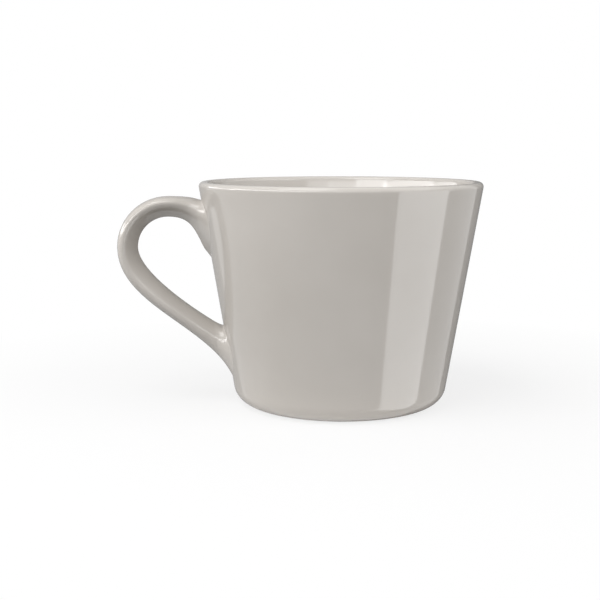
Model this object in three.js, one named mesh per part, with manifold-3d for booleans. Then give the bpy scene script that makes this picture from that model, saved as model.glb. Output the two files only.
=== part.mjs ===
// A glazed stoneware coffee cup with a conical wall and an ear handle, built from the pieces that go into
// the kiln: the turned body, the cast handle, and the two pads of slip that stick the handle to the wall.
// Millimetres, +Z up. The handle points to -X and the cup stands on the plane z = 0.

import * as THREE from "three";
import { mergeVertices } from "three/addons/utils/BufferGeometryUtils.js";
import Module from "manifold-3d";

const wasm = await Module();
wasm.setup();

// Body: the wall lines are straight, and are sized where they reach the rim plane and the foot plane.
const cupHeight = 80;
const rimDiameter = 101.8;
const baseDiameter = 75.2;
const rimThickness = 3.4;
const baseThickness = 4.4;
const floorThickness = 4.5;
const baseEdgeRadius = 7;
const insideCornerRadius = 11;
const footRingWidth = 4.5;
const footRecess = 1.5;
const footEdgeRadius = 0.6;
const recessCornerRadius = 1;
const recessDraft = 0.9;

// Handle: a strap bent into a round loop under the rim, with a long lower arm back to the wall.
const strapThickness = 7.3;
const strapWidth = 12;
const loopOuterRadius = 18.1;
const loopOffset = 14.6;
const loopDrop = 23.2;
const upperRootDrop = 7;
const upperRootHeight = 20;
const upperRootWidth = 18;
const lowerRootRise = 10.4;
const lowerRootHeight = 17.2;
const lowerRootWidth = 15;
const rootFlareRun = 6;
const sectionSquareness = 2.1;
const loopTaper = 0.8;
const lowerRootTaper = 0.1;

// Slip joints: a film of slip under each root, squeezed out a little past its edge.
const slipThickness = 0.6;
const slipBead = 0.8;
const jointGap = 0.3;

// Heading of each rail where it leaves or meets the wall, in degrees above the way out.
const upperTopHeading = 48;
const upperUndersideHeading = 51;
const lowerTopHeading = -149.4;
const lowerUndersideHeading = -118.3;

// Pull of each curve's two ends, as a share of the straight line between them.
const upperTopPull = [0.17, 0.45];
const upperUndersidePull = [0.45, 0.49];
const lowerTopPull = [0.22, 0.26];
const lowerUndersidePull = [0.33, 0.345];

// Fineness of the faceted solids, and how much of a short side two arcs may share.
const bodyFacets = 72;
const arcSteps = 4;
const arcRoom = 0.98;
const sectionPoints = 20;
const upperStations = 12;
const loopStations = 10;
const lowerStations = 18;

// Sizes that follow from those above.
const rimRadius = rimDiameter / 2;
const baseRadius = baseDiameter / 2;
const wallSlope = (rimRadius - baseRadius) / cupHeight;
const wallLean = Math.atan(wallSlope);
const lipRadius = rimThickness / 2;
const floorHeight = footRecess + floorThickness;
const footOuterRadius = baseRadius - baseEdgeRadius * Math.tan((Math.PI / 2 - wallLean) / 2);
const footInnerRadius = footOuterRadius - footRingWidth;
const loopInnerRadius = loopOuterRadius - strapThickness;
const loopHeight = cupHeight - loopDrop;
const slipOuter = jointGap + slipThickness;
const rootClearance = slipOuter + jointGap;
const rootBury = 2 * strapThickness;
const cutterMargin = strapThickness;

const glazeColour = 0xb5b0aa;
const glaze = new THREE.MeshStandardMaterial({ color: glazeColour, roughness: 0.15, metalness: 0 });
const slipColour = 0xb9b3ab;
const firedSlip = new THREE.MeshStandardMaterial({ color: slipColour, roughness: 0.3, metalness: 0 });

// Radius of the outer wall at a height.
function wallRadius(z) {
  return baseRadius + wallSlope * z;
}

// Solid and geometry conversions

function solidOf(geometry) {
  const bare = geometry.clone();
  bare.deleteAttribute("normal");
  bare.deleteAttribute("uv");
  const merged = mergeVertices(bare);
  const vertProperties = new Float32Array(merged.attributes.position.array);
  const triVerts = new Uint32Array(merged.index.array);
  return new wasm.Manifold(new wasm.Mesh({ numProp: 3, vertProperties, triVerts }));
}

function geometryOf(solid) {
  const mesh = solid.getMesh();
  const geometry = new THREE.BufferGeometry();
  geometry.setAttribute("position", new THREE.BufferAttribute(mesh.vertProperties, 3));
  geometry.setIndex(new THREE.BufferAttribute(mesh.triVerts, 1));
  geometry.computeVertexNormals();
  return geometry;
}

// Body: one profile turned about the axis

// Points of the arc that rounds a corner, starting a given reach before it.
function roundedCorner(corner, arriving, turn, reach) {
  const along = arriving.clone().normalize();
  const radius = reach / Math.tan(Math.abs(turn) / 2);
  const start = corner.clone().addScaledVector(along, -reach);
  const inward = new THREE.Vector2(-along.y, along.x).multiplyScalar(Math.sign(turn));
  const centre = start.clone().addScaledVector(inward, radius);
  const from = Math.atan2(start.y - centre.y, start.x - centre.x);
  const arc = new THREE.EllipseCurve(centre.x, centre.y, radius, radius, from, from + turn, turn < 0);
  return arc.getPoints(arcSteps);
}

// An outline through corners given as [radius from the axis, height, corner radius], rounded by arcs.
// Two arcs that would meet on a short side both shrink until they fit it.
function roundedOutline(corners) {
  const points = corners.map(([r, z]) => new THREE.Vector2(r, z));
  const last = points.length - 1;
  const sides = points.slice(1).map((point, i) => point.clone().sub(points[i]));
  const turns = points.map((_, i) => {
    const before = sides[Math.max(i - 1, 0)];
    const after = sides[Math.min(i, last - 1)];
    return Math.atan2(before.cross(after), before.dot(after));
  });
  const wanted = corners.map(([, , radius], i) => radius * Math.tan(Math.abs(turns[i]) / 2));
  const fit = sides.map((side, i) => Math.min(1, (arcRoom * side.length()) / (wanted[i] + wanted[i + 1])));
  const outline = [points[0]];
  for (let i = 1; i < last; i += 1) {
    const reach = wanted[i] * Math.min(fit[i - 1], fit[i]);
    outline.push(...roundedCorner(points[i], sides[i - 1], turns[i], reach));
  }
  outline.push(points[last]);
  return outline;
}

function makeBody() {
  const profile = roundedOutline([
    [0, footRecess, 0],
    [footInnerRadius - recessDraft, footRecess, recessCornerRadius],
    [footInnerRadius, 0, footEdgeRadius],
    [baseRadius, 0, baseEdgeRadius],
    [rimRadius, cupHeight, lipRadius],
    [rimRadius - rimThickness, cupHeight, lipRadius],
    [wallRadius(floorHeight) - baseThickness, floorHeight, insideCornerRadius],
    [0, floorHeight, 0],
  ]);
  const geometry = new THREE.LatheGeometry(profile, bodyFacets);
  return geometry.rotateX(Math.PI / 2);
}

// The outer wall as a plain solid frustum, grown by an offset square to the wall.
function wallSolid(offset) {
  const low = -cutterMargin;
  const high = cupHeight + cutterMargin;
  const grow = offset / Math.cos(wallLean);
  const geometry = new THREE.CylinderGeometry(
    wallRadius(high) + grow,
    wallRadius(low) + grow,
    high - low,
    bodyFacets,
  );
  geometry.rotateX(Math.PI / 2);
  geometry.translate(0, 0, (high + low) / 2);
  return solidOf(geometry);
}

// Handle: a loft between an outer and an inner rail, drawn on its middle plane as (u, z)

// A cubic curve between two points, from its headings there and how far each end pulls.
function sweep(start, startHeading, end, endHeading, [startPull, endPull]) {
  const span = start.distanceTo(end);
  const heading = (degrees) => {
    const angle = THREE.MathUtils.degToRad(degrees);
    return new THREE.Vector2(Math.cos(angle), Math.sin(angle));
  };
  const leave = start.clone().addScaledVector(heading(startHeading), startPull * span);
  const arrive = end.clone().addScaledVector(heading(endHeading), -endPull * span);
  return new THREE.CubicBezierCurve(start, leave, arrive, end);
}

// One rail: off the wall to the loop's top, round a quarter of the loop, and down to the wall again.
function makeRail(radius, upperZ, upperHeading, upperPull, lowerZ, lowerHeading, lowerPull) {
  const centreU = wallRadius(loopHeight) + loopOffset;
  const onWall = (z) => new THREE.Vector2(wallRadius(z), z);
  const top = new THREE.Vector2(centreU, loopHeight + radius);
  const widest = new THREE.Vector2(centreU + radius, loopHeight);
  return [
    sweep(onWall(upperZ), upperHeading, top, 0, upperPull),
    new THREE.EllipseCurve(centreU, loopHeight, radius, radius, Math.PI / 2, 0, true),
    sweep(widest, -90, onWall(lowerZ), lowerHeading, lowerPull),
  ];
}

const upperRootTop = cupHeight - upperRootDrop;
const outerRail = makeRail(
  loopOuterRadius,
  upperRootTop,
  upperTopHeading,
  upperTopPull,
  lowerRootRise,
  lowerUndersideHeading,
  lowerUndersidePull,
);
const innerRail = makeRail(
  loopInnerRadius,
  upperRootTop - upperRootHeight,
  upperUndersideHeading,
  upperUndersidePull,
  lowerRootRise + lowerRootHeight,
  lowerTopHeading,
  lowerTopPull,
);

// Matching points on the two rails, from the upper root to the lower one, with each end buried in the wall.
function makeStations() {
  const counts = [upperStations, loopStations, lowerStations];
  const stations = [];
  counts.forEach((count, part) => {
    const rootWidth = part === 2 ? lowerRootWidth : upperRootWidth;
    const endTaper = part === 2 ? lowerRootTaper : loopTaper;
    for (let i = part === 0 ? 0 : 1; i <= count; i += 1) {
      const outer = outerRail[part].getPointAt(i / count);
      const inner = innerRail[part].getPointAt(i / count);
      const middle = outer.clone().lerp(inner, 0.5);
      const offWall = Math.max(0, middle.x - wallRadius(middle.y));
      const flare = Math.max(0, 1 - offWall / rootFlareRun) ** 2;
      const width = strapWidth + (rootWidth - strapWidth) * flare;
      const taper = loopTaper + ((endTaper - loopTaper) * i) / count;
      stations.push({ outer, inner, width, taper });
    }
  });
  const buried = ({ outer, inner, width, taper }) => {
    const move = new THREE.Vector2(-rootBury, 0);
    return { outer: outer.clone().add(move), inner: inner.clone().add(move), width, taper };
  };
  return [buried(stations[0]), ...stations, buried(stations.at(-1))];
}

// The strap's section, one unit thick and wide each way: a round back that tapers to its inner edge.
function makeUnitSection(taper) {
  const soften = (value) => Math.sign(value) * Math.abs(value) ** (2 / sectionSquareness);
  const section = [];
  for (let i = 0; i < sectionPoints; i += 1) {
    const angle = (2 * Math.PI * i) / sectionPoints;
    const out = soften(Math.cos(angle));
    section.push(new THREE.Vector2(out, soften(Math.sin(angle)) * (1 - (taper * (1 - out)) / 2)));
  }
  const widest = Math.max(...section.map((p) => p.y));
  return section.map((p) => new THREE.Vector2(p.x, p.y / widest));
}

// A closed ring of points round one station.
function sectionRing({ outer, inner, width, taper }, grow) {
  const middle = outer.clone().lerp(inner, 0.5);
  const half = outer.clone().sub(middle);
  const thick = half.length() + grow;
  const wide = width / 2 + grow;
  half.normalize();
  return makeUnitSection(taper).map(({ x, y }) => {
    const p = middle.clone().addScaledVector(half, thick * x);
    return new THREE.Vector3(-p.x, wide * y, p.y);
  });
}

// A closed solid skinned over a run of stations.
function loft(stations, grow) {
  const rings = stations.map((station) => sectionRing(station, grow));
  const vertices = rings.flat();
  const triangles = [];
  const at = (ring, point) => ring * sectionPoints + (point % sectionPoints);
  for (let ring = 0; ring < rings.length - 1; ring += 1) {
    for (let point = 0; point < sectionPoints; point += 1) {
      triangles.push(at(ring, point), at(ring, point + 1), at(ring + 1, point));
      triangles.push(at(ring, point + 1), at(ring + 1, point + 1), at(ring + 1, point));
    }
  }
  const last = rings.length - 1;
  for (let point = 1; point < sectionPoints - 1; point += 1) {
    triangles.push(at(0, 0), at(0, point + 1), at(0, point));
    triangles.push(at(last, 0), at(last, point), at(last, point + 1));
  }
  const geometry = new THREE.BufferGeometry().setFromPoints(vertices);
  geometry.setIndex(triangles);
  return solidOf(geometry);
}

const stations = makeStations();
const upperEnd = upperStations + 2;
const lowerStart = stations.length - 1 - Math.ceil(lowerStations / 2);

function makeHandle() {
  return geometryOf(loft(stations, 0).subtract(wallSolid(rootClearance)));
}

// The slip under one root: a thin shell on the wall, as wide as the root and its bead.
function makeSlipPad(rootStations) {
  const film = wallSolid(slipOuter).subtract(wallSolid(jointGap));
  return geometryOf(loft(rootStations, slipBead).intersect(film));
}

// Assembly

function namedMesh(name, geometry, material) {
  const mesh = new THREE.Mesh(geometry, material);
  mesh.name = name;
  return mesh;
}

const cup = new THREE.Group();
cup.add(
  namedMesh("cup_body", makeBody(), glaze),
  namedMesh("handle", makeHandle(), glaze),
  namedMesh("upper_slip_pad", makeSlipPad(stations.slice(0, upperEnd)), firedSlip),
  namedMesh("lower_slip_pad", makeSlipPad(stations.slice(lowerStart)), firedSlip),
);

// The frame's origin is under the middle of the cup's own box, so the axis stands a little to +X.
const box = new THREE.Box3().setFromObject(cup);
cup.position.x = -(box.min.x + box.max.x) / 2;

const assembly = new THREE.Group();
assembly.add(cup);

export default assembly;
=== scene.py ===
# %% [markdown]
# A glazed coffee cup
#
# The real cup is three bits of clay: a body, a handle, and the wet slip that sticks the two together. It
# is dipped in a warm grey glaze and fired once more. This lesson loads the plain construction model as a
# fixed frame, then models a fine surface for each piece with edit-mode tools, and gives each the finish
# that the kiln gave it.

# %% Load the construction frame
import math

import bmesh
import bpy
from mathutils import Matrix, Vector
from mathutils.geometry import interpolate_bezier


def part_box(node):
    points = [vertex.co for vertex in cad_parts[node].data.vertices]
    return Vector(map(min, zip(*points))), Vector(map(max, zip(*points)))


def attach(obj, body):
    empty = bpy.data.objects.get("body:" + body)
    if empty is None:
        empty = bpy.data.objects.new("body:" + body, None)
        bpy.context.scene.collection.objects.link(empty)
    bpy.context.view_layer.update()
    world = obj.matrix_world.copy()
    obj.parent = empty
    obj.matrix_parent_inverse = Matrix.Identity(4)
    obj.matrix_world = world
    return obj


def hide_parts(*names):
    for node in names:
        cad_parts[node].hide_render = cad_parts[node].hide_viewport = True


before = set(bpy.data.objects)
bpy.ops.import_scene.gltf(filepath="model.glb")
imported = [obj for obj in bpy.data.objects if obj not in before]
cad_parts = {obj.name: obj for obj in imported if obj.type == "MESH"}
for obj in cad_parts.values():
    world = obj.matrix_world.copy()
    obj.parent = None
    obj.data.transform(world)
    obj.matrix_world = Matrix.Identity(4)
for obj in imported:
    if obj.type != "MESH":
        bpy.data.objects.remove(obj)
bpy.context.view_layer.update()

body_low, body_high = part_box("cup_body")
axis_x = (body_low.x + body_high.x) / 2
cup_axis = Vector((axis_x, 0, 0))
cup_height = body_high.z
print("cup axis at x =", round(axis_x, 5), "height", round(cup_height, 4))

# %% [markdown]
# The camera
#
# The photograph was taken from a little above the rim, with the handle turned to the left and slightly
# towards the lens. A long lens keeps the wall lines almost straight. The camera is set first, because the
# lights are placed by the angle that they make with it.

# %% Camera at the photograph's viewing angle
handle_turn = math.radians(4)
look_down = math.radians(8.31)
camera_distance = 0.4037
camera_sideways = -0.01452
camera_height = 0.09596
lens_length = 67.35
sensor_width = 36

towards_camera = Vector((-math.sin(handle_turn), -math.cos(handle_turn), 0))
image_right = Vector((math.cos(handle_turn), -math.sin(handle_turn), 0))

camera_data = bpy.data.cameras.new("photo_camera")
camera_data.lens = lens_length
camera_data.sensor_width = sensor_width
camera = bpy.data.objects.new("photo_camera", camera_data)
camera.location = cup_axis + towards_camera * camera_distance + image_right * camera_sideways
camera.location.z = camera_height
camera.rotation_euler = (math.pi / 2 - look_down, 0, -handle_turn)
bpy.context.scene.collection.objects.link(camera)
bpy.context.scene.camera = camera
bpy.context.scene.view_settings.view_transform = "Standard"
print("camera at", [round(c, 4) for c in camera.location])

# %% [markdown]
# The body
#
# A potter turns the body on a wheel, or casts it in a round mould, so every level of it is a circle. It
# could be a profile that is spun, but raising it ring by ring is closer to the wheel: one circle is
# extruded along the profile, and each extrusion is resized to the next radius. The profile starts under
# the foot, goes round the foot ring and up the outer wall, over the lip, and down the inner wall to the
# floor. All its corners are sharp at first.

# %% Sizes of the body
rim_radius = 0.0509
base_radius = 0.0376
rim_thickness = 0.0034
base_thickness = 0.0044
floor_thickness = 0.0045
base_edge_radius = 0.007
inside_corner_radius = 0.011
lip_share = 0.49
lip_radius = lip_share * rim_thickness
foot_ring_width = 0.0045
foot_recess = 0.0015
foot_edge_radius = 0.0006
recess_corner_radius = 0.001
recess_draft = 0.0009

wall_slope = (rim_radius - base_radius) / cup_height
wall_lean = math.atan(wall_slope)
floor_height = foot_recess + floor_thickness
foot_outer = base_radius - base_edge_radius * math.tan((math.pi / 2 - wall_lean) / 2)
foot_inner = foot_outer - foot_ring_width
print("wall leans", round(math.degrees(wall_lean), 2), "degrees")
print("foot ring from radius", round(foot_inner, 4), "to", round(foot_outer, 4))


# %% Lines of the outer and inner wall
def wall_radius(z):
    """Radius of the outer wall line at a height."""
    return base_radius + wall_slope * z


rim_inside = rim_radius - rim_thickness
floor_inside = wall_radius(floor_height) - base_thickness
inner_slope = (rim_inside - floor_inside) / (cup_height - floor_height)


def inner_radius(z):
    """Radius of the inner wall line at a height."""
    return rim_inside - inner_slope * (cup_height - z)


print("inside radius from", round(floor_inside, 4), "at the floor to", round(rim_inside, 4), "at the rim")

# %% Start the body with a disc under the foot
body_sides = 192
disc_inner_ring = 0.3


def start_mesh(name, add_primitive, **settings):
    """Adds a primitive with nothing else selected, names it and leaves it in edit mode, all selected."""
    if bpy.context.mode != "OBJECT":
        bpy.ops.object.mode_set(mode="OBJECT")
    bpy.ops.object.select_all(action="DESELECT")
    add_primitive(**settings)
    piece = bpy.context.object
    piece.name = name
    piece.data.name = name
    bpy.ops.object.transform_apply(location=True, rotation=True, scale=True)
    bpy.ops.object.mode_set(mode="EDIT")
    bpy.ops.mesh.select_mode(type="VERT")
    bpy.ops.mesh.select_all(action="SELECT")
    return piece


def close_ring(height):
    """Closes the selected ring with a disc: one inner ring, then a fan to the axis."""
    bpy.ops.mesh.extrude_edges_move(TRANSFORM_OT_translate={"value": (0, 0, 0)})
    bpy.ops.transform.resize(value=(disc_inner_ring, disc_inner_ring, 1),
                             center_override=(axis_x, 0, height))
    bpy.ops.mesh.extrude_edges_move(TRANSFORM_OT_translate={"value": (0, 0, 0)})
    bpy.ops.mesh.merge(type="CENTER")


recess_radius = foot_inner - recess_draft
cup = start_mesh("glazed_cup_body", bpy.ops.mesh.primitive_circle_add, vertices=body_sides,
                 radius=recess_radius, location=(axis_x, 0, foot_recess))
close_ring(foot_recess)
print("disc of radius", round(recess_radius, 4), "under the foot")

# %% [markdown]
# The profile also has four plain rings on the walls, just outside the corners. Without them the long wall
# faces would share their normals with the rounded lip and base, and smooth shading would bend the
# reflections all the way up the wall. A ring close to each corner keeps the wall between them straight.

# %% Raise the body ring by ring
below_lip = 0.0035
wall_low = 0.0075
wall_high = cup_height - below_lip
inside_low = 0.017

# Each ring: radius, height, radius of its rounding, steps of its rounding.
profile = [
    (recess_radius, foot_recess, recess_corner_radius, 6),
    (foot_inner, 0, foot_edge_radius, 6),
    (base_radius, 0, base_edge_radius, 12),
    (wall_radius(wall_low), wall_low, 0, 0),
    (wall_radius(wall_high), wall_high, 0, 0),
    (rim_radius, cup_height, lip_radius, 10),
    (rim_inside, cup_height, lip_radius, 10),
    (inner_radius(wall_high), wall_high, 0, 0),
    (inner_radius(inside_low), inside_low, 0, 0),
    (floor_inside, floor_height, inside_corner_radius, 14),
]


def select_ring(piece, radius, height, tolerance=2e-5):
    """Selects the ring of body vertices at one radius and height."""
    bpy.ops.mesh.select_all(action="DESELECT")
    mesh = bmesh.from_edit_mesh(piece.data)
    for vertex in mesh.verts:
        off_axis = math.hypot(vertex.co.x - axis_x, vertex.co.y)
        vertex.select = abs(off_axis - radius) < tolerance and abs(vertex.co.z - height) < tolerance
    mesh.select_flush_mode()
    bmesh.update_edit_mesh(piece.data)


def extrude_ring(radius, height, old_radius, old_height):
    """Extrudes the selected ring of the body to a new radius and height."""
    bpy.ops.mesh.extrude_edges_move(TRANSFORM_OT_translate={"value": (0, 0, height - old_height)})
    grow = radius / old_radius
    bpy.ops.transform.resize(value=(grow, grow, 1), center_override=(axis_x, 0, height))


select_ring(cup, recess_radius, foot_recess)
for (old_radius, old_height, *_), (radius, height, *_) in zip(profile, profile[1:]):
    extrude_ring(radius, height, old_radius, old_height)
close_ring(floor_height)
print("body raised in", len(profile), "rings of", body_sides)

# %% [markdown]
# Clay has no sharp corner: a wet sponge rounds them all. A Bevel modifier would round every ring by one
# width, but here the base edge is wide, the lip is a full round and the foot's edges are fine. So each
# corner ring is selected by its place and bevelled by itself. The operator asks for a distance along the
# faces, which follows from the wanted radius and the turn that the profile makes at that ring.

# %% Round the corner rings
round_profile = 0.5


def round_ring(piece, corner, before, after, radius, steps):
    """Bevels one ring into an arc of the given radius, from the turn that the profile makes there."""
    arriving = Vector((corner[0] - before[0], corner[1] - before[1]))
    leaving = Vector((after[0] - corner[0], after[1] - corner[1]))
    turn = abs(arriving.angle_signed(leaving))
    select_ring(piece, *corner)
    bpy.ops.mesh.bevel(offset=radius * math.tan(turn / 2), offset_type="OFFSET", segments=steps,
                       profile=round_profile, affect="EDGES", clamp_overlap=False)


corners = [(0, foot_recess), *[ring[:2] for ring in profile], (0, floor_height)]
for i, (*_, radius, steps) in enumerate(profile, start=1):
    if radius:
        round_ring(cup, corners[i], corners[i - 1], corners[i + 1], radius, steps)
bpy.ops.mesh.select_all(action="SELECT")
bpy.ops.mesh.normals_make_consistent(inside=False)
bpy.ops.object.mode_set(mode="OBJECT")
bpy.ops.object.shade_smooth()
print("body faces", len(cup.data.polygons), "size", [round(d, 5) for d in cup.dimensions])

# %% [markdown]
# The handle
#
# The handle is a strap of clay, cast by itself in a two-part mould. Seen from the side it runs between
# two rails: an outer and an inner curve that leave the wall, go round a loop and come back down to the
# wall. A Curve modifier could bend a straight bar, but it keeps one thickness, and the strap swells at
# both roots. So a rounded section is extruded from station to station, and each new ring is turned and
# resized to touch both rails. The rails come first. Each is a cubic curve, a quarter of a circle and
# another cubic curve.

# %% Rails of the handle
strap_thickness = 0.0073
loop_outer_radius = 0.0181
loop_inner_radius = loop_outer_radius - strap_thickness
loop_below_rim = 0.0232
loop_offset = 0.0146
root_below_rim = 0.007
upper_root_height = 0.02
lower_root_height = 0.0172
lower_root_bottom = 0.0104
loop_height = cup_height - loop_below_rim
upper_root_top = cup_height - root_below_rim
upper_root_underside = upper_root_top - upper_root_height
lower_root_top = lower_root_bottom + lower_root_height
upper_steps, loop_steps, lower_steps = 16, 14, 24


def heading(degrees):
    """Unit direction on the handle's plane, in degrees above the way out from the axis."""
    return Vector((math.cos(math.radians(degrees)), math.sin(math.radians(degrees))))


def sweep(start, start_heading, start_pull, end, end_heading, end_pull, steps):
    """Points of a cubic curve from its headings at both ends and how far each end pulls."""
    span = (end - start).length
    leave = start + heading(start_heading) * start_pull * span
    arrive = end - heading(end_heading) * end_pull * span
    return interpolate_bezier(start, leave, arrive, end, steps + 1)


def make_rail(radius, upper_z, upper_heading, upper_pulls, lower_z, lower_heading, lower_pulls):
    """One rail as (distance from the axis, height) points, from the upper root to the lower one."""
    centre = Vector((wall_radius(loop_height) + loop_offset, loop_height))
    top = centre + Vector((0, radius))
    widest = centre + Vector((radius, 0))
    upper_root = Vector((wall_radius(upper_z), upper_z))
    lower_root = Vector((wall_radius(lower_z), lower_z))
    rise = sweep(upper_root, upper_heading, upper_pulls[0], top, 0, upper_pulls[1], upper_steps)
    quarter = [centre + heading(90 - 90 * i / loop_steps) * radius for i in range(1, loop_steps)]
    fall = sweep(widest, -90, lower_pulls[0], lower_root, lower_heading, lower_pulls[1], lower_steps)
    return [*rise, *quarter, *fall]


outer_rail = make_rail(
    loop_outer_radius,
    upper_z=upper_root_top, upper_heading=48, upper_pulls=(0.17, 0.45),
    lower_z=lower_root_bottom, lower_heading=-118.3, lower_pulls=(0.33, 0.345),
)
inner_rail = make_rail(
    loop_inner_radius,
    upper_z=upper_root_underside, upper_heading=51, upper_pulls=(0.45, 0.49),
    lower_z=lower_root_top, lower_heading=-149.4, lower_pulls=(0.22, 0.26),
)
print("handle stations", len(outer_rail), "reach", round(max(p.x for p in outer_rail), 4))

# %% [markdown]
# The strap's section
#
# Cut across, the strap is not a plain oval. Round the loop its back is broad and its inner edge is
# narrow, so a finger slips in and the light breaks along a ridge near the back. Down the lower arm the
# narrowing fades out, and the ridge moves to the middle. At both roots the strap widens. All this is
# worked out station by station before any mesh is made.

# %% Sections of the strap
strap_width = 0.012
upper_root_width = 0.018
lower_root_width = 0.015
root_flare_run = 0.006
section_taper = 0.8
lower_taper = 0.1


def station(index):
    """Middle point, way across, thickness, width and taper of the strap at one station."""
    outer, inner = outer_rail[index], inner_rail[index]
    middle = (outer + inner) / 2
    across = outer - inner
    off_wall = max(0, middle.x - wall_radius(middle.y))
    root_width = upper_root_width if index < len(outer_rail) // 2 else lower_root_width
    flare = max(0, 1 - off_wall / root_flare_run) ** 2
    width = strap_width + (root_width - strap_width) * flare
    down_arm = max(0, index - upper_steps - loop_steps) / lower_steps
    taper = section_taper + (lower_taper - section_taper) * down_arm
    place = Vector((axis_x - middle.x, 0, middle.y))
    across_3d = Vector((-across.x, 0, across.y))
    return place, across_3d.normalized(), across.length, width, taper


stations = [station(i) for i in range(len(outer_rail))]
last_ring = len(stations) - 1
widths = [section[3] for section in stations]
print("strap width from", round(min(widths), 4), "to", round(max(widths), 4))

# %% [markdown]
# The strap starts as a square that Bevel rounds off at its four corners into one ring. Its taper comes
# next: the width of each point is scaled by the point's place across the strap. A bevelled curve object
# keeps one section from end to end, so it could not do this.

# %% Start the strap as one rounded ring
square_size = 2
section_corner = 0.985
section_corner_steps = 9
ring_size = 4 * (section_corner_steps + 1)


def narrowing(taper, out):
    """Share of the width left at a place across the strap, from -1, its inner edge, to 1, its back."""
    return 1 - taper * (1 - out) / 2


def narrow_ring(place, across, thickness, old_taper, taper):
    """Changes the taper of the selected ring and returns its new half width."""
    mesh = bmesh.from_edit_mesh(bpy.context.edit_object.data)
    ring = [vertex for vertex in mesh.verts if vertex.select]
    for vertex in ring:
        out = (vertex.co - place).dot(across) / (thickness / 2)
        vertex.co.y *= narrowing(taper, out) / narrowing(old_taper, out)
    bmesh.update_edit_mesh(bpy.context.edit_object.data)
    return max(vertex.co.y for vertex in ring)


def section_ring(name, section):
    """Starts a piece as one rounded ring that fills a section of the strap."""
    place, across, thickness, width, taper = section
    piece = start_mesh(name, bpy.ops.mesh.primitive_plane_add, size=square_size, location=place)
    bpy.ops.mesh.bevel(offset=section_corner, segments=section_corner_steps, profile=round_profile,
                       affect="VERTICES")
    bpy.ops.mesh.delete(type="ONLY_FACE")
    bpy.ops.mesh.select_all(action="SELECT")
    half_width = narrow_ring(place, Vector((1, 0, 0)), square_size, 0, taper)
    bpy.ops.transform.resize(value=(thickness / square_size, width / 2 / half_width, 1),
                             center_override=place)
    bpy.ops.transform.rotate(value=math.atan2(across.z, across.x), orient_axis="Y", center_override=place)
    return piece


handle = section_ring("ear_handle", stations[0])
print("ring of", ring_size, "points at the upper root")


# %% Extrude the strap from station to station
def section_axes(across):
    """Columns: across the strap, along its width, and along its run."""
    width_way = Vector((0, 1, 0))
    return Matrix((across, width_way, across.cross(width_way))).transposed()


def next_station(old, new):
    """Extrudes the selected ring to the next station, then turns, narrows and resizes it there."""
    old_place, old_across, old_thickness, _, old_taper = old
    place, across, thickness, width, taper = new
    bpy.ops.mesh.extrude_edges_move(TRANSFORM_OT_translate={"value": place - old_place})
    turn = math.atan2(across.z, across.x) - math.atan2(old_across.z, old_across.x)
    bpy.ops.transform.rotate(value=turn, orient_axis="Y", center_override=place)
    half_width = narrow_ring(place, across, old_thickness, old_taper, taper)
    bpy.ops.transform.resize(value=(thickness / old_thickness, width / 2 / half_width, 1),
                             orient_type="GLOBAL", orient_matrix=section_axes(across),
                             orient_matrix_type="GLOBAL", center_override=place)


for old, new in zip(stations, stations[1:]):
    next_station(old, new)
print("strap of", len(stations), "rings, each of", ring_size, "points")

# %% [markdown]
# Both ends of the strap are still open, and a flat end would leave a crack of shadow on the curved wall.
# So each end ring is pushed a little into the wall before it is closed. The cap is then out of sight in
# the clay.

# %% Bury and close both ends of the strap
root_bury = 0.0015
smooth_below = math.radians(50)


def select_open_rings():
    """Selects the rings of the piece in edit mode that have faces on one side only."""
    bpy.ops.mesh.select_all(action="DESELECT")
    bpy.ops.mesh.select_non_manifold(use_wire=False, use_boundary=True, use_multi_face=False,
                                     use_non_contiguous=False, use_verts=False)


def finish_mesh(piece):
    """Turns all faces outwards, leaves edit mode and smooths all but the sharp edges."""
    bpy.ops.mesh.select_all(action="SELECT")
    bpy.ops.mesh.normals_make_consistent(inside=False)
    open_edges = sum(not edge.is_manifold for edge in bmesh.from_edit_mesh(piece.data).edges)
    bpy.ops.object.mode_set(mode="OBJECT")
    bpy.ops.object.shade_smooth_by_angle(angle=smooth_below)
    print(piece.name, "faces", len(piece.data.polygons), "open edges", open_edges)


select_open_rings()
bpy.ops.mesh.extrude_edges_move(TRANSFORM_OT_translate={"value": (root_bury, 0, 0)})
bpy.ops.mesh.fill_holes(sides=0)
finish_mesh(handle)

# %% [markdown]
# The slip fillets
#
# The potter scores both faces, wets them with slip and presses the root home. What squeezes out is wiped
# round with a finger, so each root runs into the wall in a hollow curve, wide at its sides and tight
# above and below. Under the upper root the finger does not reach, and a small bead of slip stays. A bevel
# makes the same radius all round. Here a ring is taken from the strap's own section just off the wall and
# extruded towards the wall in small steps that follow a quarter circle: fast towards the wall at first,
# then out along it. The strap's taper fades on the way, so the slip ends round on the wall and not in a
# point. The first and last rings dive a little into the strap and the wall, and the skin closes behind
# itself inside the clay.

# %% Sections between the stations
def part_station(index):
    """A section between two stations of the strap."""
    low = min(int(index), last_ring - 1)
    share = index - low
    earlier, later = stations[low], stations[low + 1]
    place = earlier[0].lerp(later[0], share)
    across = earlier[1].lerp(later[1], share).normalized()
    sizes = [a + (b - a) * share for a, b in zip(earlier[2:], later[2:])]
    return place, across, *sizes


def grown(section, back, inside, sides, taper_kept=1):
    """The same section, larger at the strap's back, at its inner edge and on both sides."""
    place, across, thickness, width, taper = section
    middle = place + across * (back - inside) / 2
    return middle, across, thickness + back + inside, width + 2 * sides, taper * taper_kept


print("between the first two stations the strap is", round(part_station(0.5)[2], 4), "thick")

# %% Wipe a fillet of slip round each root
fillet_sink = 0.00006
fillet_steps = 16
buried_inset = 0.001
buried_steps = 4
taper_at_wall = 0.45
bead_run = 0.85


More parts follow.
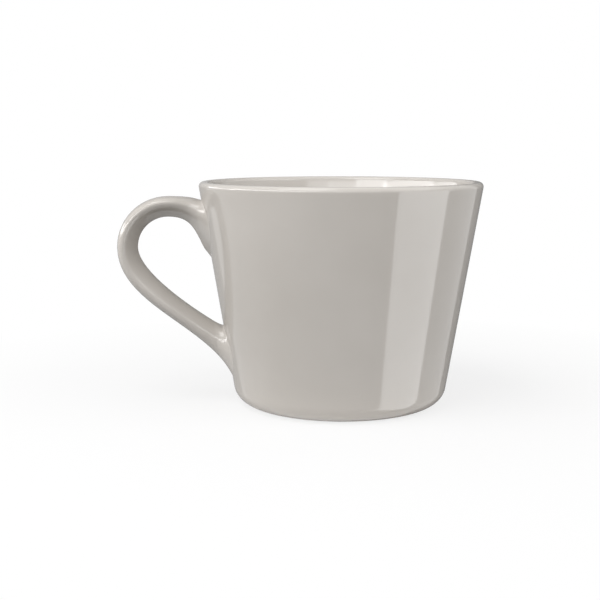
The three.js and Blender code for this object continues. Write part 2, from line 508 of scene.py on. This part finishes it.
def hug_wall(piece, section, share, sink):
    """Lays the selected ring on its section's plane, bends it by a share of the wall's curve, sinks it."""
    place, across = section[:2]
    mesh = bmesh.from_edit_mesh(piece.data)
    for vertex in mesh.verts:
        if vertex.select:
            radius = wall_radius(vertex.co.z)
            bend = radius - math.sqrt(radius ** 2 - vertex.co.y ** 2)
            plane_x = place.x + (vertex.co.z - place.z) * across.x / across.z
            vertex.co.x = plane_x + share * bend + sink
    bmesh.update_edit_mesh(piece.data)


def make_fillet(name, root, off_wall, back, inside, sides, bead=0):
    """One closed fillet, from a station of the strap off the wall to the root's own station on it."""
    section = grown(part_station(off_wall), -fillet_sink, -fillet_sink, -fillet_sink)
    piece = section_ring(name, section)
    for step in range(1, fillet_steps + 1):
        turn = math.pi / 2 * step / fillet_steps
        along, out = math.sin(turn), 1 - math.cos(turn)
        swell = bead * math.sin(math.pi * min(1, along / bead_run)) ** 2
        strap = part_station(off_wall + (root - off_wall) * along)
        wanted = grown(strap, back * out, inside * out + swell, sides * out,
                       taper_kept=1 + (taper_at_wall - 1) * out)
        next_station(section, wanted)
        # The powers keep the ring flat near the strap and bend and sink it late, close to the wall.
        hug_wall(piece, wanted, along ** 3, fillet_sink * along ** 4)
        section = wanted
    for step in range(buried_steps + 1):
        behind = part_station(root + (off_wall - root) * step / buried_steps)
        buried = grown(behind, -buried_inset, -buried_inset, -buried_inset)
        next_station(section, buried)
        hug_wall(piece, buried, 0, root_bury if step == 0 else 0)
        section = buried
    select_open_rings()
    bpy.ops.mesh.bridge_edge_loops()
    finish_mesh(piece)
    return piece


upper_slip = make_fillet("upper_slip_fillet", root=0, off_wall=5, back=0.0008, inside=-fillet_sink,
                         sides=0.0032, bead=0.00045)
lower_slip = make_fillet("lower_slip_fillet", root=last_ring, off_wall=last_ring - 3,
                         back=0.0008, inside=0.0008, sides=0.0028)

# %% [markdown]
# The glaze
#
# Glaze is a thin coat of glass over the clay. Its colour comes from both, so it is never quite even: it
# drifts where the coat ran thicker or thinner, it breaks paler along the lip, where it drains away, and
# it gathers darker low down. Its skin is smooth but not perfect. Photographs of a glaze would fix it to
# one cup, so it is built from noise here. The unevenness is the same effect on every piece, so it is one
# node group, and each material sets its own sizes.

# %% Shared effect: an uneven fired coat
def add_noise(nodes, links, coordinates, scale_from, detail):
    """A noise texture on the given coordinates, with its scale read from a socket."""
    noise = nodes.new("ShaderNodeTexNoise")
    noise.inputs["Detail"].default_value = detail
    links.new(coordinates, noise.inputs["Vector"])
    links.new(scale_from, noise.inputs["Scale"])
    return noise.outputs["Fac"]


def make_coat_group():
    """Outputs Drift, the slow change of tone, and Skin, the fine unevenness of the surface."""
    group = bpy.data.node_groups.new("uneven_fired_coat", "ShaderNodeTree")
    nodes, links = group.nodes, group.links
    for label in ("Drift Scale", "Skin Scale"):
        group.interface.new_socket(name=label, in_out="INPUT", socket_type="NodeSocketFloat")
    for label in ("Drift", "Skin"):
        group.interface.new_socket(name=label, in_out="OUTPUT", socket_type="NodeSocketFloat")
    sizes = nodes.new("NodeGroupInput")
    result = nodes.new("NodeGroupOutput")
    place = nodes.new("ShaderNodeTexCoord").outputs["Object"]
    drift = add_noise(nodes, links, place, sizes.outputs["Drift Scale"], detail=3)
    skin = add_noise(nodes, links, place, sizes.outputs["Skin Scale"], detail=2)
    links.new(drift, result.inputs["Drift"])
    links.new(skin, result.inputs["Skin"])
    return group


coat_group = make_coat_group()
print("node group", coat_group.name, "with", len(coat_group.nodes), "nodes")

# %% Colour of the glaze
glaze_thick = (0.415, 0.388, 0.357)
glaze_thin = (0.445, 0.418, 0.388)
glaze_at_lip = (0.46, 0.435, 0.405)
glaze_pooled = (0.405, 0.377, 0.346)
lip_break = (cup_height - 0.0016, cup_height - 0.0002)
pool_band = (0.002, 0.016)
pool_share = 0.8
noise_span = (0.3, 0.7)


def mix_colours(nodes, links, factor, low, high):
    """A colour between two colours or colour sockets, chosen by a factor socket."""
    mix = nodes.new("ShaderNodeMix")
    mix.data_type = "RGBA"
    links.new(factor, mix.inputs["Factor"])
    # A Mix node lists the sockets of all its data types. The colour ones are inputs 6 and 7 and output 2.
    for socket, colour in ((mix.inputs[6], low), (mix.inputs[7], high)):
        if isinstance(colour, bpy.types.NodeSocket):
            links.new(colour, socket)
        else:
            socket.default_value = (*colour, 1)
    return mix.outputs[2]


def map_range(nodes, links, value, low, high, to_low, to_high):
    """A value carried from one range to another and held at its ends."""
    node = nodes.new("ShaderNodeMapRange")
    links.new(value, node.inputs["Value"])
    for label, number in (("From Min", low), ("From Max", high), ("To Min", to_low), ("To Max", to_high)):
        node.inputs[label].default_value = number
    return node.outputs["Result"]


def glaze_colour(nodes, links, drift):
    """A slow drift of tone, darker low down and paler along the lip."""
    level = nodes.new("ShaderNodeSeparateXYZ")
    links.new(nodes.new("ShaderNodeTexCoord").outputs["Object"], level.inputs["Vector"])
    thinness = map_range(nodes, links, drift, *noise_span, 0, 1)
    pool = map_range(nodes, links, level.outputs["Z"], *pool_band, pool_share, 0)
    lip = map_range(nodes, links, level.outputs["Z"], *lip_break, 0, 1)
    colour = mix_colours(nodes, links, thinness, glaze_thick, glaze_thin)
    colour = mix_colours(nodes, links, pool, colour, glaze_pooled)
    return mix_colours(nodes, links, lip, colour, glaze_at_lip)


print("glaze from", glaze_thick, "where thick to", glaze_thin, "where thin")

# %% [markdown]
# The gloss of a glaze is the gloss of glass, so the shader keeps glass's index of refraction and a low
# roughness. The skin noise moves that roughness a little and feeds a very shallow bump, which stops the
# reflections from looking like a mirror's. The slip is thirsty and not quite smooth, so the coat over it
# is thinner: its gloss is softer, and its bump is coarser and a little deeper.

# %% Glaze on the body and handle, and over the slip
glaze_ior = 1.5
skin_distance = 0.0004


def new_material(name):
    """A material with its Principled shader, node list and link list."""
    material = bpy.data.materials.new(name)
    material.use_nodes = True
    nodes, links = material.node_tree.nodes, material.node_tree.links
    return material, nodes["Principled BSDF"], nodes, links


def add_coat(nodes, drift_scale, skin_scale):
    """The shared coat effect in one material, with its own sizes."""
    coat = nodes.new("ShaderNodeGroup")
    coat.node_tree = coat_group
    coat.inputs["Drift Scale"].default_value = drift_scale
    coat.inputs["Skin Scale"].default_value = skin_scale
    return coat.outputs["Drift"], coat.outputs["Skin"]


def add_bump(nodes, links, shader, height, strength, distance):
    """A bump on the shader's normal."""
    bump = nodes.new("ShaderNodeBump")
    bump.inputs["Strength"].default_value = strength
    bump.inputs["Distance"].default_value = distance
    links.new(height, bump.inputs["Height"])
    links.new(bump.outputs["Normal"], shader.inputs["Normal"])


def make_glaze(name, drift_scale, skin_scale, skin_depth, roughness):
    """Warm grey gloss glaze with its own drift, skin and range of roughness."""
    material, shader, nodes, links = new_material(name)
    drift, skin = add_coat(nodes, drift_scale, skin_scale)
    links.new(glaze_colour(nodes, links, drift), shader.inputs["Base Color"])
    links.new(map_range(nodes, links, skin, *noise_span, *roughness), shader.inputs["Roughness"])
    add_bump(nodes, links, shader, skin, skin_depth, skin_distance)
    shader.inputs["IOR"].default_value = glaze_ior
    return material


glaze = make_glaze("warm_grey_glaze", drift_scale=28, skin_scale=260, skin_depth=0.02,
                   roughness=(0.07, 0.11))
slip_glaze = make_glaze("glaze_over_slip", drift_scale=70, skin_scale=180, skin_depth=0.025,
                        roughness=(0.17, 0.2))
for piece, finish in ((cup, glaze), (handle, glaze), (upper_slip, slip_glaze), (lower_slip, slip_glaze)):
    piece.data.materials.clear()
    piece.data.materials.append(finish)
    print(piece.name, "has", finish.name)

# %% [markdown]
# The bare foot
#
# A cup stands on its foot ring in the kiln, and glaze would stick it to the shelf, so the ring is wiped
# clean. It shows the clay itself: buff, matt, sandy to the touch and freckled with specks of iron. It is
# the same piece of clay as the body, so it is not a new object. Only the faces that touch the shelf take
# a second material.

# %% Bare clay on the foot ring
clay_pale = (0.56, 0.49, 0.40)
clay_dark = (0.48, 0.41, 0.33)
iron_speck = (0.16, 0.11, 0.08)
speck_span = (0.66, 0.7)
clay_roughness = (0.78, 0.92)
wiped_height = 0.0005
wiped_inside = 0.0006


def make_bare_clay(name):
    """Matt buff stoneware with iron specks and a sandy grain."""
    material, shader, nodes, links = new_material(name)
    drift, skin = add_coat(nodes, drift_scale=220, skin_scale=1900)
    paleness = map_range(nodes, links, drift, *noise_span, 0, 1)
    speck = map_range(nodes, links, skin, *speck_span, 0, 1)
    colour = mix_colours(nodes, links, paleness, clay_dark, clay_pale)
    links.new(mix_colours(nodes, links, speck, colour, iron_speck), shader.inputs["Base Color"])
    links.new(map_range(nodes, links, drift, *noise_span, *clay_roughness), shader.inputs["Roughness"])
    add_bump(nodes, links, shader, skin, strength=0.4, distance=0.0002)
    return material


cup.data.materials.append(make_bare_clay("bare_stoneware"))
bare_faces = 0
for face in cup.data.polygons:
    off_axis = math.hypot(face.center.x - axis_x, face.center.y)
    if face.center.z < wiped_height and off_axis > foot_inner - wiped_inside:
        face.material_index = 1
        bare_faces += 1
print("bare faces on the foot ring", bare_faces)

# %% [markdown]
# The studio
#
# The photograph's ground is plain white, but its cup is lit softly and has darker edges. Both come from
# one trick of the studio: what the camera and the gloss see as background is white, and what lights the
# cup is weaker. Light Path tells these rays apart, so the world is white for the first and a soft fill
# for the rest.

# %% World: white to look at, a soft fill to light with
world_fill = 0.48


def background_rays(nodes, links):
    """1 for the rays that show a background: straight from the camera, in gloss and through glass."""
    path = nodes.new("ShaderNodeLightPath")
    seen = path.outputs["Is Camera Ray"]
    for label in ("Is Glossy Ray", "Is Transmission Ray"):
        either = nodes.new("ShaderNodeMath")
        either.operation = "MAXIMUM"
        links.new(seen, either.inputs[0])
        links.new(path.outputs[label], either.inputs[1])
        seen = either.outputs["Value"]
    return seen


world = bpy.data.worlds.new("studio")
world.use_nodes = True
world_nodes, world_links = world.node_tree.nodes, world.node_tree.links
seen = background_rays(world_nodes, world_links)
world_strength = map_range(world_nodes, world_links, seen, 0, 1, world_fill, 1)
world_links.new(world_strength, world_nodes["Background"].inputs["Strength"])
world_nodes["Background"].inputs["Color"].default_value = (1, 1, 1, 1)
bpy.context.scene.world = world
print("world fill", world_fill)

# %% [markdown]
# The floor is pale near the cup, where it keeps the shadow, and runs off into white. The light that it
# throws back up is a different matter. The underside of the handle's loop is quite dark in the
# photograph, so little light came from below, yet the rounded base is as light as the wall. So, for the
# light that it gives back, the floor is dark, with a pale patch close round the foot.

# %% Floor that fades to white
floor_size = 6.0
floor_roughness = 0.9
floor_seen = (0.68, 0.68, 0.68)
floor_bounce = (0.14, 0.14, 0.14)
patch_bounce = (0.82, 0.82, 0.82)
patch_edge = (0.039, 0.054)
white_fade = (0.07, 0.2)
white_near = 0.75


def make_floor_material():
    """Pale matt floor near the cup, plain white further off, with a bounce of its own."""
    material, shader, nodes, links = new_material("pale_floor")
    shader.inputs["Roughness"].default_value = floor_roughness
    seen = background_rays(nodes, links)
    off_cup = nodes.new("ShaderNodeVectorMath")
    off_cup.operation = "DISTANCE"
    off_cup.inputs[1].default_value = cup_axis
    links.new(nodes.new("ShaderNodeTexCoord").outputs["Object"], off_cup.inputs[0])
    off_patch = map_range(nodes, links, off_cup.outputs["Value"], *patch_edge, 0, 1)
    bounce = mix_colours(nodes, links, off_patch, patch_bounce, floor_bounce)
    links.new(mix_colours(nodes, links, seen, bounce, floor_seen), shader.inputs["Base Color"])
    white = nodes.new("ShaderNodeEmission")
    white.inputs["Strength"].default_value = 1
    whiteness = nodes.new("ShaderNodeMath")
    whiteness.operation = "MULTIPLY"
    far = map_range(nodes, links, off_cup.outputs["Value"], *white_fade, white_near, 1)
    links.new(far, whiteness.inputs[0])
    links.new(seen, whiteness.inputs[1])
    mix = nodes.new("ShaderNodeMixShader")
    links.new(whiteness.outputs["Value"], mix.inputs["Fac"])
    links.new(shader.outputs["BSDF"], mix.inputs[1])
    links.new(white.outputs["Emission"], mix.inputs[2])
    links.new(mix.outputs["Shader"], nodes["Material Output"].inputs["Surface"])
    return material


floor = start_mesh("pale_floor", bpy.ops.mesh.primitive_plane_add, size=floor_size)
bpy.ops.object.mode_set(mode="OBJECT")
floor.data.materials.append(make_floor_material())
floor.visible_glossy = False
print("floor", floor_size, "m wide, white from", white_fade[1], "m off the cup")

# %% [markdown]
# The lamps
#
# A glossy cup is lit by what it mirrors. The far inside of the wall mirrors a low arc round the left and
# front, so an arc of soft strips hangs there and draws the bright inside. The outer wall leans out and
# mirrors only what lies below the horizon, so a tall box on the right reaches below the floor's level and
# draws the long band down the wall. A panel overhead lights the back of the handle. Each lamp's power
# follows from its area and the radiance of its panel, so a lamp can change its size and stay as bright in
# the gloss.

# %% Soft strips, an overhead panel and a tall box
lamp_distance = 0.9


def studio_place(azimuth, elevation, distance):
    """A point round the cup, by degrees to the right of the camera and degrees above the cup's middle."""
    turn, rise = math.radians(azimuth), math.radians(elevation)
    flat = towards_camera * math.cos(turn) + image_right * math.sin(turn)
    middle = cup_axis + Vector((0, 0, cup_height / 2))
    return middle + (flat * math.cos(rise) + Vector((0, 0, math.sin(rise)))) * distance


def aim(thing, point):
    """Turns a lamp or card so that its -Z side faces a point."""
    thing.rotation_euler = (point - thing.location).to_track_quat("-Z", "Y").to_euler()


def add_soft_box(name, azimuth, elevation, width, height, radiance, distance=lamp_distance):
    """An area lamp that faces the cup, as bright as a lit panel of the given radiance."""
    data = bpy.data.lights.new(name, "AREA")
    data.shape = "RECTANGLE"
    data.size, data.size_y = width, height
    data.energy = radiance * math.pi * width * height
    lamp = bpy.data.objects.new(name, data)
    lamp.location = studio_place(azimuth, elevation, distance)
    aim(lamp, studio_place(0, 0, 0))
    lamp.visible_camera = False
    bpy.context.scene.collection.objects.link(lamp)
    print(name, "gives", round(data.energy, 2), "W")


add_soft_box("strip_back_left", azimuth=-114, elevation=13, width=0.6, height=0.14, radiance=4.0)
add_soft_box("strip_left", azimuth=-72, elevation=18, width=0.9, height=0.2, radiance=7.1)
add_soft_box("strip_front_left", azimuth=-33, elevation=20.5, width=0.45, height=0.2, radiance=7.0)
add_soft_box("strip_front", azimuth=-5, elevation=21, width=0.42, height=0.12, radiance=4.1)
add_soft_box("strip_front_right", azimuth=20.7, elevation=21, width=0.41, height=0.12, radiance=2.7)
add_soft_box("overhead_panel", azimuth=-42, elevation=60, width=0.5, height=0.4, radiance=5.2)
add_soft_box("tall_box_right", azimuth=67.5, elevation=0, width=0.7, height=1.8, radiance=2.78,
             distance=0.8)

# %% [markdown]
# A pale cup on white needs dark edges, or its outline is lost. A photographer stands dark cards behind
# it, just out of the picture, and the wall mirrors them where it turns away from the lens. A third card,
# a pale one, hangs in front of the tall box's upper part. Without it the left of the cup's inside would
# mirror the box, and in the photograph it is quiet there. These cards are seen by gloss alone: they take
# no light from the cup and throw no shadow.

# %% Cards that only the gloss sees
card_distance = 0.7


def add_card(name, azimuth, elevation, width, height, tone):
    """A card of one tone that faces the cup and that only gloss sees."""
    card = start_mesh(name, bpy.ops.mesh.primitive_plane_add, size=1)
    bpy.ops.object.mode_set(mode="OBJECT")
    card.scale = (width, height, 1)
    card.location = studio_place(azimuth, elevation, card_distance)
    aim(card, studio_place(0, 0, 0))
    material, shader, *_ = new_material(name)
    shader.inputs["Base Color"].default_value = (0, 0, 0, 1)
    shader.inputs["Specular IOR Level"].default_value = 0
    shader.inputs["Emission Color"].default_value = (tone, tone, tone, 1)
    shader.inputs["Emission Strength"].default_value = 1
    card.data.materials.append(material)
    card.visible_camera = False
    card.visible_diffuse = False
    card.visible_transmission = False
    card.visible_shadow = False
    print(name, "of tone", tone)


add_card("card_right", azimuth=158, elevation=0, width=0.62, height=1.6, tone=0.2)
add_card("card_left", azimuth=-158, elevation=0, width=0.62, height=1.6, tone=0.46)
add_card("card_inside", azimuth=64, elevation=20, width=0.85, height=0.36, tone=1.2)

# %% [markdown]
# Each modelled piece takes the place of its plain solid, rides on the cup's one body and prints the finish
# it carries.

# %% Tie the pieces to the frame
for piece, node, finish in (
    (cup, "cup_body", "glazed_stoneware"),
    (handle, "handle", "glazed_stoneware"),
    (upper_slip, "upper_slip_pad", "fired_slip"),
    (lower_slip, "lower_slip_pad", "fired_slip"),
):
    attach(piece, "root")
    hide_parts(node)
    print(piece.name, "stands for", node, "in", finish)
